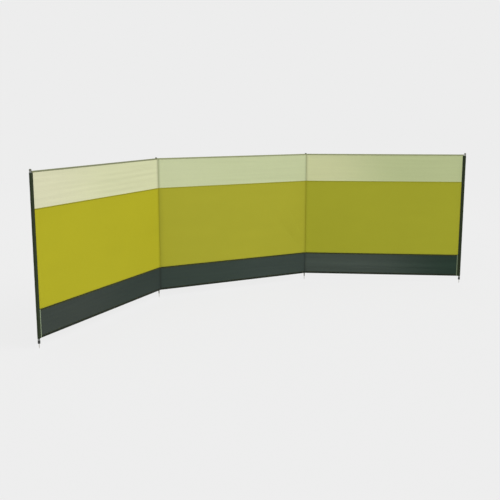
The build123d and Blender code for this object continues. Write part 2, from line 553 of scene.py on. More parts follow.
@dataclass(frozen=True)
class WovenCloth:
    """Plain-woven polyester, seen as crossing threads close up and as even colour from afar."""

    name: str
    colour: Colour
    thread_pitch: float = 0.0009
    weave_depth: float = 0.00006
    weave_shade: float = 0.05
    slub_grain: Span = (14.0, 900.0)
    slub_shade: float = 0.10
    roughness: float = 0.62
    roughness_spread: float = 0.2
    sheen: float = 0.04
    specular: float = 0.12
    cloud_scale: float = 2.3
    mottle: float = 0.035
    streak_grain: Span = (1.3, 42.0)
    painted_crease_shade: float = 0.0
    edges: tuple[PaintedEdgeShade, ...] = ()
    painted_falloff: PaintedLightFalloff | None = None

    def tone(self, graph: MaterialGraph, along: Field, share: float) -> object:
        """The cloth's colour, and the painted light that it turns to along the bay.

        Args:
            graph: the material that is being written.
            along: how far along the bay a point is.
            share: how much of the colour is left.

        Returns:
            A Field or linear values.
        """
        near = linear(self.colour, share)
        if self.painted_falloff is None:
            return near
        turned = along.step(self.painted_falloff.start, self.painted_falloff.end)
        return graph.mix(turned, near, linear(self.painted_falloff.colour, share))

    def material(self) -> bpy.types.Material:
        """Write the material.

        Returns:
            The finished material.
        """
        graph = MaterialGraph(self.name)
        flat = graph.cloth_place()
        along, up, _ = graph.split(flat)
        warp = (along * (math.pi / self.thread_pitch)).sine()
        weft = (up * (math.pi / self.thread_pitch)).sine()
        warp_on_top = (warp * weft) > 0.0
        weave = abs(weft) * warp_on_top + abs(warp) * (1 - warp_on_top)
        lengthways, crossways = self.slub_grain
        thick_weft = graph.noise(graph.stretched(flat, lengthways, crossways, 1.0), 1.0, 1.0)
        thick_warp = graph.noise(graph.stretched(flat, crossways, lengthways, 1.0), 1.0, 1.0)
        slubs = thick_weft * 0.5 + thick_warp * 0.5
        clouds = graph.noise(graph.place(), self.cloud_scale, 3.0)
        shade = 1.0 + (clouds - 0.5) * self.mottle * 2
        # The slubs are the thread's own uneven tone; the weave is painted darker in its hollows and
        # lighter at its crossings, a painted shade.
        shade = shade + (slubs - 0.5) * self.slub_shade + (weave - 0.6) * self.weave_shade
        # Painted shade: long lighter and darker streaks that stand in for the shading of fine
        # creases.
        if self.painted_crease_shade:
            drawn_out = graph.noise(graph.stretched(flat, *self.streak_grain, 1.0), 1.0, 3.0, 0.6)
            shade = shade + (drawn_out - 0.5) * self.painted_crease_shade * 2
        # Painted shade: the cloth is painted darker beside each of these lines, where folds, poles
        # and seams shade it.
        for edge in self.edges:
            across = up if edge.level else along
            beside = 1 - abs(across - edge.at).step(0.0, edge.reach)
            shade = shade * (1 - beside * edge.depth)
        dark, light = self.tone(graph, along, 0.5), self.tone(graph, along, 1.5)
        graph.bump(weave * 0.7 + slubs * 0.5, self.weave_depth)
        return graph.finish(
            Base_Color=graph.mix(shade - 0.5, dark, light),
            Roughness=self.roughness + (slubs - 0.5) * self.roughness_spread,
            Sheen_Weight=self.sheen,
            Sheen_Roughness=0.5,
            Specular_IOR_Level=self.specular,
        )


@dataclass(frozen=True)
class RibbedTape:
    """Woven tape with fine ribs across it."""

    name: str
    colour: Colour
    rib_pitch: float = 0.0012
    rib_depth: float = 0.00012
    rib_shade: float = 0.08
    cross_shade: float = 0.04
    cloud_scale: float = 9.0
    cloud_shade: float = 0.16
    roughness: float = 0.7
    roughness_spread: float = 0.2

    def material(self) -> bpy.types.Material:
        """Write the material.

        Returns:
            The finished material.
        """
        graph = MaterialGraph(self.name)
        along, up, _ = graph.split(graph.cloth_place())
        ribs = (along * (FULL_TURN / self.rib_pitch)).sine() * 0.5 + 0.5
        cross = (up * (FULL_TURN / self.rib_pitch)).sine() * 0.5 + 0.5
        clouds = graph.noise(graph.place(), self.cloud_scale, 3.0)
        # Painted shade: the tape is painted darker between its ribs and lighter on them.
        woven = (ribs - 0.5) * self.rib_shade + (cross - 0.5) * self.cross_shade
        shade = 0.5 + (clouds - 0.5) * self.cloud_shade + woven
        graph.bump(ribs * 0.7 + cross * 0.3, self.rib_depth)
        return graph.finish(
            Base_Color=graph.mix(shade, linear(self.colour, 0.5), linear(self.colour, 1.5)),
            Roughness=self.roughness + (clouds - 0.5) * self.roughness_spread,
            Sheen_Weight=0.04,
            Specular_IOR_Level=0.15,
        )


@dataclass(frozen=True)
class SpunThread:
    """Sewing thread, with the twist of its ply."""

    name: str
    colour: Colour
    ply_pitch: float = 0.0008
    ply_depth: float = 0.0001
    ply_shade: float = 0.6

    def material(self) -> bpy.types.Material:
        """Write the material.

        Returns:
            The finished material.
        """
        graph = MaterialGraph(self.name)
        x, y, z = graph.split(graph.place())
        twist = ((x + y + z) * (FULL_TURN / self.ply_pitch)).sine() * 0.5 + 0.5
        graph.bump(twist, self.ply_depth)
        # Painted shade: the grooves of the twist are darker, at ply_shade of the colour.
        return graph.finish(
            Base_Color=graph.mix(twist, linear(self.colour, self.ply_shade), linear(self.colour)),
            Roughness=0.5 + twist * 0.1,
            Sheen_Weight=0.1,
            Specular_IOR_Level=0.3,
        )


@dataclass(frozen=True)
class DrawnSteel:
    """Steel drawn and zinc plated, with fine lines along it and dull spots."""

    name: str
    colour: Colour
    roughness: float = 0.34
    line_grain: tuple[float, float, float] = (1400.0, 1400.0, 6.0)
    line_depth: float = 0.00004
    spangle_scale: float = 160.0
    dull_scale: float = 22.0
    dull_shade: float = 0.6

    def material(self) -> bpy.types.Material:
        """Write the material.

        Returns:
            The finished material.
        """
        graph = MaterialGraph(self.name)
        place = graph.place()
        lines = graph.noise(graph.stretched(place, *self.line_grain), 1.0, 2.0)
        spangle = graph.noise(place, self.spangle_scale, 3.0, 0.65)
        dull = graph.noise(place, self.dull_scale, 4.0, 0.6).step(0.5, 0.75)
        wear = dull * 0.6 + (spangle - 0.5) * 0.5
        graph.bump(lines, self.line_depth)
        return graph.finish(
            Base_Color=graph.mix(wear, linear(self.colour), linear(self.colour, self.dull_shade)),
            Metallic=1.0,
            Roughness=self.roughness + dull * 0.22 + (lines - 0.5) * 0.12,
        )


@dataclass(frozen=True)
class MouldedPlastic:
    """Moulded plastic with a fine spark-eroded grain, scuffed pale where it is handled."""

    name: str
    colour: Colour
    scuff: Colour
    roughness: float = 0.5
    grain_scale: float = 1900.0
    grain_depth: float = 0.00008
    scuff_grain: tuple[float, float, float] = (260.0, 260.0, 90.0)
    scuff_range: Span = (0.58, 0.75)

    def material(self) -> bpy.types.Material:
        """Write the material.

        Returns:
            The finished material.
        """
        graph = MaterialGraph(self.name)
        place = graph.place()
        grain = graph.noise(place, self.grain_scale, 2.0, 0.7)
        rubbed = graph.noise(graph.stretched(place, *self.scuff_grain), 1.0, 5.0, 0.7)
        scuffs = rubbed.step(*self.scuff_range)
        pale = scuffs * 0.7 + (grain - 0.5) * 0.12
        graph.bump(grain, self.grain_depth)
        return graph.finish(
            Base_Color=graph.mix(pale, linear(self.colour), linear(self.scuff)),
            Roughness=self.roughness + (grain - 0.5) * 0.2 + scuffs * 0.15,
            Specular_IOR_Level=0.45,
        )


Finish = Union[WovenCloth, RibbedTape, SpunThread, DrawnSteel, MouldedPlastic]


# The cloth's relief


def smooth_step(share: np.ndarray) -> np.ndarray:
    """0 below 0, 1 above 1, and a smooth rise between."""
    held = np.clip(share, 0, 1)
    return held * held * (3 - 2 * held)


@dataclass(frozen=True)
class Crease:
    """One long soft crease in a bay's cloth, from (along, up) to (along, up)."""

    start: Span
    end: Span
    height: float
    width: float
    end_taper: float = 0.7

    def lift(self, along: np.ndarray, up: np.ndarray) -> np.ndarray:
        """How far the crease lifts points towards the windward side.

        Args:
            along: where they are along the bay.
            up: how high they are.

        Returns:
            The lift of each.
        """
        run = np.array(self.end) - np.array(self.start)
        length = float(np.hypot(*run))
        off_x, off_z = along - self.start[0], up - self.start[1]
        lengthways = (off_x * run[0] + off_z * run[1]) / length
        sideways = (off_z * run[0] - off_x * run[1]) / length
        taper = np.sin(math.pi * np.clip(lengthways / length, 0, 1)) ** self.end_taper
        return self.height * taper * np.exp(-((sideways / self.width) ** 2))


@dataclass(frozen=True)
class Ripples:
    """Many low waves that run along a band of cloth, as wind and folding leave them."""

    low: float
    high: float
    height: float
    wavelength: float
    run: float
    seed: int
    count: int = 9
    band_edge: float = 0.02

    def lift(self, along: np.ndarray, up: np.ndarray) -> np.ndarray:
        """How far the waves lift points towards the windward side.

        Args:
            along: where they are along the bay.
            up: how high they are.

        Returns:
            The lift of each.
        """
        draw = random.Random(self.seed)
        total = np.zeros_like(along)
        for _ in range(self.count):
            across = FULL_TURN / (self.wavelength * draw.uniform(0.6, 1.8))
            lengthways = FULL_TURN / (self.run * draw.uniform(0.7, 2.0)) * draw.choice((-1, 1))
            sway = draw.uniform(0.4, 1.2)
            bend = sway * np.sin(along * draw.uniform(2.0, 6.0) + draw.uniform(0, FULL_TURN))
            phase = draw.uniform(0, FULL_TURN)
            swell = np.sin(along * draw.uniform(1.5, 5.0) + draw.uniform(0, FULL_TURN))
            wave = np.sin(up * across + along * lengthways + bend + phase)
            total += (0.55 + 0.45 * swell) * wave
        rise = smooth_step((up - self.low) / self.band_edge)
        fall = smooth_step((self.high - up) / self.band_edge)
        return self.height * rise * fall * total / math.sqrt(self.count)


@dataclass(frozen=True)
class SeamPull:
    """What a sewn seam does to the cloth beside it: a ridge, and small puckers that die away."""

    up: float
    ridge: float
    ridge_width: float
    pucker: float
    pucker_length: float
    pucker_reach: float

    def lift(self, along: np.ndarray, up: np.ndarray) -> np.ndarray:
        """How far the seam lifts points: towards the sheltered side at the ridge.

        Args:
            along: where they are along the bay.
            up: how high they are.

        Returns:
            The lift of each.
        """
        off = np.abs(up - self.up)
        ridge = -self.ridge * np.exp(-((off / self.ridge_width) ** 1.3))
        # Two slow waves shift the puckers, so that they never follow each other evenly.
        uneven = 2.1 * np.sin(along * 17.0 + self.up * 31) + 1.3 * np.sin(along * 41.0)
        wave = np.sin(along * FULL_TURN / self.pucker_length + uneven)
        return ridge + self.pucker * wave * np.exp(-off / self.pucker_reach)


Relief = Union[Crease, Ripples, SeamPull]


# Sewn work


@dataclass(frozen=True)
class Sewing:
    """Sizes of the cloth, tapes, seams and stitches, which every bay shares."""

    cloth_thickness: float = 0.0005
    tape_thickness: float = 0.0007
    tape_half_width: float = 0.00095
    tape_rounding: float = 0.9
    seam_height: float = 0.009
    lower_seam_rise: float = 0.004
    seam_half_width: float = 0.0009
    seam_rounding: float = 0.7
    seam_inset: float = 0.001
    stitch_length: float = 0.0026
    stitch_pitch: float = 0.0042
    stitch_radius: float = 0.00035
    stitch_inset: float = 0.0022
    column_pitch: float = 0.0078
    row_pitch: float = 0.0055
    main_row_pitch: float = 0.0090
    end_tape_half_width: float = 0.0015
    end_tape_drop: float = 0.0006
    end_hold: float = 0.045


SEWING = Sewing()
BAY_WIDTH = 1.525


def foot(pole: str) -> Vector:
    """Where a pole, such as left_end, stands in plan, at height 0."""
    low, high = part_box(f"{pole}_pole_foot")
    return Vector(((low.x + high.x) / 2, (low.y + high.y) / 2, 0))


def fold_axis(side: str) -> Vector:
    """Where the left or right fold's upright axis stands in plan, at height 0."""
    x, y, _ = next(j["pos_m"] for j in frame["joints"] if j["name"] == f"{side}_bay_fold")
    return Vector((x, y, 0))


def folded_tape(name: str, low: Vector, high: Vector, fall: float, lengths: int) -> Workpiece:
    """Tape folded along its length over the edge of the cloth.

    Args:
        name: what it is called.
        low: one corner of its fold in plan, with y to the sheltered side.
        high: the opposite corner.
        fall: how far its two sides reach from the fold, up if above 0 and else down.
        lengths: into how many lengths it is cut.

    Returns:
        The tape, flat in its length and with its cloth map.
    """
    middle = (low + high) / 2
    tape = Workpiece.start(name, bpy.ops.mesh.primitive_plane_add, size=1, location=middle)
    tape.stretch((high.x - low.x, high.y - low.y, 1), middle)
    with tape.editing():
        tape.pick_edges(lambda a, b: abs(a.y - b.y) < SAME_PLACE)
        tape.extrude((0, 0, fall))
    tape.cut_into_lengths(Axis.ALONG, lengths)
    width = high.y * SEWING.tape_rounding
    tape.apply_modifier("BEVEL", width=width, segments=3, limit_method="ANGLE")
    tape.thicken(SEWING.tape_thickness)
    tape.map_cloth(lambda p: np.stack([p[:, 0], p[:, 2] + p[:, 1]], axis=1))
    return tape


@dataclass
class Needle:
    """Sews stitches: one long row is modelled once, and every row is a copy cut to length."""

    longest: float = 1.53
    end_taper: float = 0.45
    corners: int = 4

    def __post_init__(self) -> None:
        """Model the long row along +x from the origin."""
        half = SEWING.stitch_length / 2
        row = Workpiece.start(
            "stitch_row",
            bpy.ops.mesh.primitive_cylinder_add,
            vertices=self.corners,
            radius=SEWING.stitch_radius,
            depth=SEWING.stitch_length,
            location=Vector((half, 0, 0)),
            rotation=(0, math.pi / 2, 0),
        )
        with row.editing():
            for end in (lambda p: p.x > half, lambda p: p.x < half):
                row.pick_points(end)
                bpy.ops.transform.resize(value=(1, self.end_taper, self.end_taper))
        row.apply_modifier(
            "ARRAY",
            count=int(self.longest / SEWING.stitch_pitch),
            use_relative_offset=False,
            use_constant_offset=True,
            constant_offset_displace=(SEWING.stitch_pitch, 0, 0),
        )
        self.pattern: Workpiece = row

    def sew(
        self, name: str, rows: Sequence[tuple[Vector, float]], upright: bool = False
    ) -> Workpiece:
        """Sew rows of stitches on both sides of the cloth.

        Args:
            name: what they are called.
            rows: where each starts on the windward side, and how long it may be.
            upright: up z if true, and else along x.

        Returns:
            The rows, as one workpiece.
        """
        turn = Matrix.Rotation(-math.pi / 2 if upright else 0, 4, "Y")
        sewn: list[Workpiece] = []
        for start, length in rows:
            whole = int(length / SEWING.stitch_pitch) * SEWING.stitch_pitch
            for side in Side:
                row = self.pattern.copied(name)
                with row.editing():
                    row.pick_points(lambda p: p.x > whole - SEWING.stitch_radius)
                    bpy.ops.mesh.delete(type="VERT")
                place = Vector((start.x, side.value * start.y, start.z))
                row.take_place(Matrix.Translation(place) @ turn)
                sewn.append(row)
        sewn[0].absorb(sewn[1:])
        return sewn[0]

    def put_away(self) -> None:
        """Delete the long row, which every other row was copied from."""
        self.pattern.discard()


@dataclass(frozen=True)
class BayEnd:
    """How far the cloth, the binding and the hem stop short of one end of a bay."""

    cloth: float
    binding: float
    hem: float


POLE_END = BayEnd(cloth=0.011, binding=0.011, hem=0.021)
FOLD_END = BayEnd(cloth=0.0026, binding=0.005, hem=0.005)
SEWN_END = BayEnd(cloth=0.0022, binding=0.005, hem=0.005)
LEFT_FOLD = FOLD_END.cloth
RIGHT_FOLD = BAY_WIDTH - FOLD_END.cloth

SLOTS = {
    "top_strip": "pale_cloth",
    "main_panel": "olive_cloth",
    "skirt": "dark_cloth",
    "binding": "binding_tape",
    "hem": "hem_tape",
    "upper_seam": "olive_cloth",
    "lower_seam": "dark_cloth",
    "skirt_end_tape": "binding_tape",
    "stitching": "binding_tape",
}


@dataclass(frozen=True)
class BayDesign:
    """One bay's colours, where shade is painted on its cloth, and what hangs in it."""

    side: str
    poles: tuple[str, str]
    main: Colour
    strip: Colour
    skirt: Colour
    # Painted shade: the binding is painted darker than the pale strip that it binds, for the shade
    # of its folded edge, darkest in the left bay.
    binding: Colour
    # Painted shade at lines across each width of cloth, mostly beside the folds and the poles.
    main_painted_shade: tuple[PaintedEdgeShade, ...]
    strip_painted_shade: tuple[PaintedEdgeShade, ...]
    skirt_painted_shade: tuple[PaintedEdgeShade, ...]
    # Painted light: the strip and the skirt change colour along the bay as the light on them
    # changes.
    strip_painted_falloff: PaintedLightFalloff
    skirt_painted_falloff: PaintedLightFalloff
    seed: int
    strip_ripple: float
    skirt_ripple: float
    creases: tuple[Crease, ...]
    strip_painted_crease_shade: float = 0.04
    skirt_painted_crease_shade: float = 0.12
    hem: Colour = (32, 40, 29)
    lower_seam: Colour = (54, 58, 28)
    # Painted shade: the share of the main cloth's colour that the upper seam's fell keeps.
    seam_shade_share: float = 0.90
    thread_share: float = 0.85
    end_tape: Span | None = None
    end_tape_colour: Colour = (150, 164, 136)
    # Painted shade on the main cloth just above the lower seam.
    painted_seam_shade: PaintedEdgeShade = PaintedEdgeShade(0.246, 0.024, 0.10, level=True)

    def finishes(self) -> dict[str, Finish]:
        """The bay's finishes.

        Returns:
            Each kind of piece's own.
        """
        side = self.side
        return {
            "top_strip": WovenCloth(
                f"{side}_pale_cloth",
                self.strip,
                painted_crease_shade=self.strip_painted_crease_shade,
                edges=self.strip_painted_shade,
                painted_falloff=self.strip_painted_falloff,
            ),
            "main_panel": WovenCloth(
                f"{side}_olive_cloth", self.main, edges=(*self.main_painted_shade, self.painted_seam_shade)
            ),
            "skirt": WovenCloth(
                f"{side}_dark_cloth",
                self.skirt,
                painted_crease_shade=self.skirt_painted_crease_shade,
                edges=self.skirt_painted_shade,
                painted_falloff=self.skirt_painted_falloff,
            ),
            "binding": RibbedTape(f"{side}_binding", self.binding),
            "hem": RibbedTape(f"{side}_hem", self.hem),
            "upper_seam": RibbedTape(f"{side}_upper_seam", shaded(self.main, self.seam_shade_share)),
            "lower_seam": RibbedTape(f"{side}_lower_seam", self.lower_seam),
            "skirt_end_tape": RibbedTape(f"{side}_end_tape", self.end_tape_colour),
            "stitching": SpunThread(f"{side}_thread", shaded(self.main, self.thread_share)),
        }

    def relief(self) -> list[Relief]:
        """The bay's relief.

        Returns:
            Ripples in each width of cloth, what the seams and tapes pull, and the creases.
        """
        # The cloth starts 0.036 above the ground, is seamed at 0.246 and 0.971, and ends at 1.236.
        return [
            Ripples(0.971, 1.224, self.strip_ripple, 0.055, 1.1, self.seed),
            Ripples(0.246, 0.971, 0.0006, 0.16, 1.0, self.seed + 1),
            Ripples(0.040, 0.246, self.skirt_ripple, 0.045, 0.9, self.seed + 2),
            SeamPull(1.230, 0.0006, 0.020, 0.0004, 0.043, 0.016),
            SeamPull(0.966, 0.0014, 0.022, 0.0006, 0.036, 0.018),
            SeamPull(0.241, 0.0016, 0.022, 0.0007, 0.034, 0.018),
            SeamPull(0.045, 0.0008, 0.018, 0.0005, 0.040, 0.014),
            *self.creases,
        ]


@dataclass
class Bay:
    """One bay: three widths of cloth sewn edge to edge, bound at the top and hemmed below."""

    design: BayDesign
    place: Vector
    heading: float
    left: BayEnd
    right: BayEnd
    made: dict[str, bpy.types.Object] = field(default_factory=dict)

    def __post_init__(self) -> None:
        """Work out the bay's name, finishes, relief and lengths."""
        self.body: str = f"{self.design.side}_bay"
        self.finishes: dict[str, Finish] = self.design.finishes()
        self.relief: list[Relief] = self.design.relief()
        self.cloth: Span = (self.left.cloth, BAY_WIDTH - self.right.cloth)
        self.tapes: dict[str, Span] = {
            "binding": (self.left.binding, BAY_WIDTH - self.right.binding),
            "hem": (self.left.hem, BAY_WIDTH - self.right.hem),
        }

    def heights(self, kind: str) -> Span:
        """The lowest and highest z of one of this bay's CAD nodes."""
        low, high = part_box(f"{self.body}_{kind}")
        return low.z, high.z

    def hang(self, piece: Workpiece) -> None:
        """Give a flat piece the bay's relief and stand it in the bay's place.

        The relief dies away where the cloth enters a sleeve or a fold seam.

        Args:
            piece: the flat piece.
        """
        points = piece.points()
        along, up = points[:, 0], points[:, 2]
        total = sum(part.lift(along, up) for part in self.relief)
        from_end = np.minimum(along - self.cloth[0], self.cloth[1] - along)
        points[:, 1] += total * smooth_step(from_end / SEWING.end_hold)
        piece.set_points(points)
        turn = Matrix.Rotation(self.heading, 4, "Z")
        piece.take_place(Matrix.Translation(self.place) @ turn)

    def keep(self, piece: Workpiece, kind: str) -> None:
        """Finish a flat piece, and ride it on the bay's body.

        Args:
            piece: the flat piece, with its cloth map.
            kind: the name that the bay knows it by.
        """
        self.hang(piece)
        if kind != "stitching":  # a stitch keeps its few flat faces
            piece.smooth()
        piece.wear(self.finishes[kind].material())
        node = f"{self.body}_{kind}"
        if node in frame["nodes"]:
            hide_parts(node)
        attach(piece.obj, self.body)
        self.made[kind] = piece.obj
        log.info("%s made, %d faces", piece.obj.name, len(piece.obj.data.polygons))

    def make_panel(self, kind: PanelKind) -> None:
        """Make one width of cloth, as a thin sheet.

        Args:
            kind: which width.
        """
        low, high = self.heights(kind.value)
        start, end = self.cloth
        pitch = SEWING.main_row_pitch if kind is PanelKind.MAIN_PANEL else SEWING.row_pitch
        middle = Vector(((start + end) / 2, 0, (low + high) / 2))
        sheet = Workpiece.start(
            f"{self.body}_{kind.value}_cloth",
            bpy.ops.mesh.primitive_grid_add,
            x_subdivisions=round((end - start) / SEWING.column_pitch),
            y_subdivisions=round((high - low) / pitch),
            size=1,
            location=middle,
            rotation=(math.pi / 2, 0, 0),
        )
        sheet.stretch((end - start, 1, high - low), middle)
        sheet.thicken(SEWING.cloth_thickness)
        sheet.map_cloth()
        self.keep(sheet, kind.value)

    def make_tape(self, kind: str, span: Span) -> None:
        """Make the tape folded over the top edge or under the bottom edge of the cloth.

        Args:
            kind: binding or hem.
            span: where it starts and ends along the bay.
        """
        low, high = self.heights(kind)
        start, end = span
        half, side = SEWING.tape_thickness / 2, SEWING.tape_half_width
        reach = high - low - half
        fold_z, fall = (high - half, -reach) if kind == "binding" else (low + half, reach)
        tape = folded_tape(
            f"{self.body}_{kind}_tape",
            Vector((start, -side, fold_z)),
            Vector((end, side, fold_z)),
            fall,
            round((end - start) / SEWING.column_pitch),
        )
        self.keep(tape, kind)

    def make_welt(self, kind: str, span: Span, heights: Span, side: float) -> None:
        """Make a low flat band sewn to both sides of the cloth, such as the fell of a seam.

        Args:
            kind: the name that the bay knows it by.
            span: where it starts and ends along the bay.
            heights: its lowest and highest z.
            side: how far it stands out to each side.
        """
        low, high = (Vector((x, y, z)) for x, y, z in zip(span, (-side, side), heights))
        welt = Workpiece.start(
            f"{self.body}_{kind}",
            bpy.ops.mesh.primitive_cube_add,
            size=1,
            location=(low + high) / 2,
            scale=high - low,
        )
        for axis, pitch in ((Axis.ALONG, SEWING.column_pitch), (Axis.UP, SEWING.seam_height)):
            lengths = round((high - low)[axis.value] / pitch)
            if lengths > 1:
                welt.cut_into_lengths(axis, lengths)
        width = side * SEWING.seam_rounding
        welt.apply_modifier("BEVEL", width=width, segments=2, limit_method="ANGLE")
        welt.map_cloth()
        self.keep(welt, kind)

    def make_stitching(self, needle: Needle, upper: float, lower: float) -> None:
        """Make every stitch of the bay, on both sides, as one piece.

        Args:
            needle: what sews it.
            upper: the height of the seam under the top strip.
            lower: the height of the seam over the skirt.
        """
        binding_low, _ = self.heights("binding")
        _, hem_high = self.heights("hem")
        inset, fell = SEWING.stitch_inset, SEWING.seam_height
        tape_side = SEWING.tape_half_width + SEWING.tape_thickness / 2
        seam_side = SEWING.seam_half_width
        rows = [
            (binding_low + inset, tape_side, self.tapes["binding"]),
            (upper - inset, seam_side, self.cloth),
            (upper - fell + inset, seam_side, self.cloth),
            (lower + SEWING.lower_seam_rise - inset, seam_side, self.cloth),
            (lower - fell + inset, seam_side, self.cloth),
            (hem_high - inset, tape_side, self.tapes["hem"]),
        ]
        margin = SEWING.stitch_pitch
        starts = [
            (Vector((start + margin, off, up)), end - start - 2 * margin)
            for up, off, (start, end) in rows
        ]
        stitching = needle.sew(f"{self.body}_stitching", starts)
        stitching.map_cloth()
        self.keep(stitching, "stitching")

    def build(self, needle: Needle) -> None:
        """Make the whole bay.

        Args:
            needle: what sews it.
        """
        for kind in PanelKind:
            self.make_panel(kind)
        for tape, span in self.tapes.items():
            self.make_tape(tape, span)
        lower, upper = self.heights("main_panel")
        inset, fell, side = SEWING.seam_inset, SEWING.seam_height, SEWING.seam_half_width
        seam = (self.cloth[0] + inset, self.cloth[1] - inset)
        self.make_welt("upper_seam", seam, (upper - fell, upper), side)
        self.make_welt("lower_seam", seam, (lower - fell, lower + SEWING.lower_seam_rise), side)
        if self.design.end_tape:
            bottom = self.heights("skirt")[0] - SEWING.end_tape_drop
            side = SEWING.end_tape_half_width
            self.make_welt("skirt_end_tape", self.design.end_tape, (bottom, lower), side)
        self.make_stitching(needle, upper, lower)
        self.declare()
        self.declare()
        self.declare()

    def declare(self) -> None:
        """Work out the width of the bay's cloth, which nothing keeps.
        """
        self.cloth[1] - self.cloth[0]


# The sleeves


@dataclass
class Sleeve:
    """Sleeve round a pole: a loop drawn in to two lips that hold the end of the cloth.

    It is modelled once, with its pole at the origin and its lips along +x, and copied to its poles.
    """

    low: float
    high: float
    finish: WovenCloth
    thread: SpunThread
    needle: Needle
    loop_radius: float = 0.009
    wall: float = 0.0010
    corners: int = 28
    open_half_angle: float = math.radians(45.0)
    neck: float = 0.0125
    lip_end: float = 0.0210
    lip_half_width: float = 0.0014
    stitch_columns: tuple[float, ...] = (0.0190, 0.0150)
    stitch_stop: float = 0.006
    ring_pitch: float = 0.009
    slack: float = 0.00035
    slack_end: float = 0.004
    slack_fade: float = 0.006
    map_gap: float = 0.1
    smooth_angle: float = 50.0
    slots: dict[str, str] = field(default_factory=dict)
    pieces: dict[str, Workpiece] = field(default_factory=dict)

    def model(self) -> None:
        """Model every piece of the sleeve about its pole."""
        self.keep("cloth", self.model_loop(), "sleeve_cloth")
        self.keep("stitching", self.model_stitching(), "sleeve_cloth")

    def keep(self, kind: str, piece: Workpiece, slot: str) -> None:
        """Remember a modelled piece and the record's material slot that it takes."""
        self.pieces[kind] = piece
        self.slots[kind] = slot

    def model_loop(self) -> Workpiece:
        """Model the loop and its lips, from a tube cut open along one side.

        Returns:
            The loop.
        """
        height = self.high - self.low
        loop = Workpiece.start(
            "sleeve_loop",
            bpy.ops.mesh.primitive_cylinder_add,
            vertices=self.corners,
            radius=self.loop_radius,
            depth=height,
            end_fill_type="NOTHING",
            location=Vector((0, 0, self.low + height / 2)),
        )
        with loop.editing():
            loop.pick_points(lambda p: abs(math.atan2(p.y, p.x)) < self.open_half_angle)
            bpy.ops.mesh.delete(type="VERT")
        points = loop.points()
        edge_x = points[:, 0].max()
        edge_y = np.abs(points[points[:, 0] > edge_x - SAME_PLACE, 1]).max()
        for side in Side:
            with loop.editing():
                loop.pick_points(lambda p: p.x > edge_x - SAME_PLACE and p.y * side.value > 0)
                loop.extrude((self.neck - edge_x, side.value * (self.lip_half_width - edge_y), 0))
                loop.extrude((self.lip_end - self.neck, 0, 0))
        loop.cut_into_lengths(Axis.UP, round(height / self.ring_pitch))
        loop.face_outwards()
        loop.thicken(self.wall)
        loop.map_cloth(self.unrolled)
        self.slacken(loop)
        loop.smooth(self.smooth_angle)
        loop.wear(self.finish.material())
        return loop

    def unrolled(self, points: np.ndarray) -> np.ndarray:
        """Unroll the loop and lay its lips a little way off.

        Args:
            points: places on the sleeve.

        Returns:
            Where each is on the flat cloth.
        """
        round_pole = np.arctan2(points[:, 1], -points[:, 0]) * self.loop_radius
        on_lip = points[:, 0] > self.neck - 2 * self.wall
        along = np.where(on_lip, points[:, 0] + self.map_gap, round_pole)
        return np.stack([along, points[:, 2]], axis=1)

    def slacken(self, loop: Workpiece) -> None:
        """Let the loop ease off the pole in shallow sideways folds.

        Args:
            loop: the cloth round the pole, with its lips.
        """
        points = loop.points()
        up = points[:, 2]
        around = np.arctan2(points[:, 1], points[:, 0])
        broad = np.sin(up * 47 + 1.7 * np.sin(up * 13) + around)
        fine = np.sin(up * 103 - 2 * around)
        ease = 1 - smooth_step((points[:, 0] - self.slack_end) / self.slack_fade)
        reach = np.hypot(points[:, 0], points[:, 1])
        grown = 1 + self.slack * ease * (0.5 + 0.5 * (broad + 0.6 * fine)) / reach
        points[:, :2] *= grown[:, None]
        loop.set_points(points)

    def model_stitching(self) -> Workpiece:
        """Model the rows of stitches up the lips, on both sides.

        Returns:
            The stitching.
        """
        off = self.lip_half_width + self.wall / 2
        bottom = self.low + SEWING.stitch_pitch
        length = self.high - self.low - self.stitch_stop
        rows = [(Vector((x, off, bottom)), length) for x in self.stitch_columns]
        stitching = self.needle.sew("sleeve_stitching", rows, upright=True)
        stitching.wear(self.thread.material())
        return stitching

    def cut(self) -> Span:
        """Work out what the sleeve's cloth was cut to.

        Returns:
            Its width and length.
        """
        round_pole = self.loop_radius * (FULL_TURN - 2 * self.open_half_angle)
        lips = 2 * (self.lip_end - self.loop_radius * math.cos(self.open_half_angle))
        return round_pole + lips, self.high - self.low

    def stand(self, pole: str, body: str, heading: float) -> None:
        """Copy the sleeve to one pole.

        Args:
            pole: which pole, such as left_end.
            body: the body that it rides on.
            heading: which way its lips point.
        """
        node = f"{pole}_sleeve"
        turn = Matrix.Rotation(heading, 4, "Z")
        made: dict[str, bpy.types.Object] = {}
        for kind, pattern in self.pieces.items():
            piece = pattern.copied(f"{node}_{kind}")
            piece.take_place(Matrix.Translation(foot(pole)) @ turn)
            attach(piece.obj, body)
            made[kind] = piece.obj
        cloth = made.pop("cloth")
        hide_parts(node)
        self.cut()
        log.info("%s made, with %d pieces sewn to it", cloth.name, len(made))

    def put_away(self) -> None:
        """Delete the modelled pieces, once each pole has its copies."""
        for pattern in self.pieces.values():
            pattern.discard()


